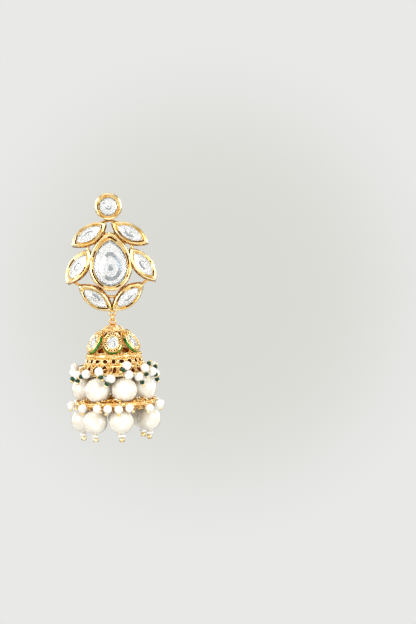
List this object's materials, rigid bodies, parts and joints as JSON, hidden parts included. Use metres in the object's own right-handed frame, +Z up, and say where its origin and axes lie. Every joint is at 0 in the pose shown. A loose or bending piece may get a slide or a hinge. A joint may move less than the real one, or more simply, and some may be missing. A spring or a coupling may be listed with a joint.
{
  "type": "jhumka drop earring",
  "caption": "Drop earring: a brooch of stone-set cups on an ear post carries a pierced bell fringed with pearls, a ring under them and a second row of pearls.",
  "frame": {"origin": "where the ear post leaves the back of the round stud, on the stud's centre line", "axes": "+Z up as it hangs, -Y out of the front of the brooch towards the viewer, +Y along the ear post, +X to the viewer's right"},
  "size_m": [0.0269, 0.0269, 0.0697],
  "materials": {
    "polished_gold": "polished yellow gold plating over cast brass",
    "clear_cut_stone": "clear cut glass stone on foil",
    "cream_pearl": "cream imitation pearl with a satin sheen",
    "white_bead": "white opaque beads on wire stems"
  },
  "bodies": {
    "brooch": {"brooch_frame": "polished_gold", "stone_round": "clear_cut_stone", "stone_pear": "clear_cut_stone", "stone_leaf_upper_left": "clear_cut_stone", "stone_leaf_upper_right": "clear_cut_stone", "stone_leaf_middle_left": "clear_cut_stone", "stone_leaf_middle_right": "clear_cut_stone", "stone_leaf_lower_left": "clear_cut_stone", "stone_leaf_lower_right": "clear_cut_stone"},
    "ring": {"hanging_ring": "polished_gold"},
    "bell": {"bell": "polished_gold", "tier_ring": "polished_gold", "stone_petal_1": "clear_cut_stone", "stone_petal_2": "clear_cut_stone", "stone_petal_3": "clear_cut_stone", "stone_petal_4": "clear_cut_stone", "stone_petal_5": "clear_cut_stone", "stone_petal_6": "clear_cut_stone", "pearl_upper_1": "cream_pearl", "pearl_upper_2": "cream_pearl", "pearl_upper_3": "cream_pearl", "pearl_upper_4": "cream_pearl", "pearl_upper_5": "cream_pearl", "pearl_upper_6": "cream_pearl", "pearl_upper_7": "cream_pearl", "pearl_lower_1": "cream_pearl", "pearl_lower_2": "cream_pearl", "pearl_lower_3": "cream_pearl", "pearl_lower_4": "cream_pearl", "pearl_lower_5": "cream_pearl", "pearl_lower_6": "cream_pearl", "pearl_lower_7": "cream_pearl", "spray_upper_1": "white_bead", "spray_upper_2": "white_bead", "spray_upper_3": "white_bead", "spray_upper_4": "white_bead", "spray_upper_5": "white_bead", "spray_upper_6": "white_bead", "spray_upper_7": "white_bead", "spray_lower_1": "white_bead", "spray_lower_2": "white_bead", "spray_lower_3": "white_bead", "spray_lower_4": "white_bead", "spray_lower_5": "white_bead", "spray_lower_6": "white_bead", "spray_lower_7": "white_bead"}
  },
  "joints": [
    {"name": "ring_swing", "type": "hinge", "parent": "brooch", "child": "ring", "pos_m": [0, -0.0018, -0.0309], "axis": [1, 0, 0], "range_deg": [-40, 40]},
    {"name": "bell_swing", "type": "hinge", "parent": "ring", "child": "bell", "pos_m": [0, -0.0018, -0.0322], "axis": [0, 1, 0], "range_deg": [-40, 40]}
  ]
}
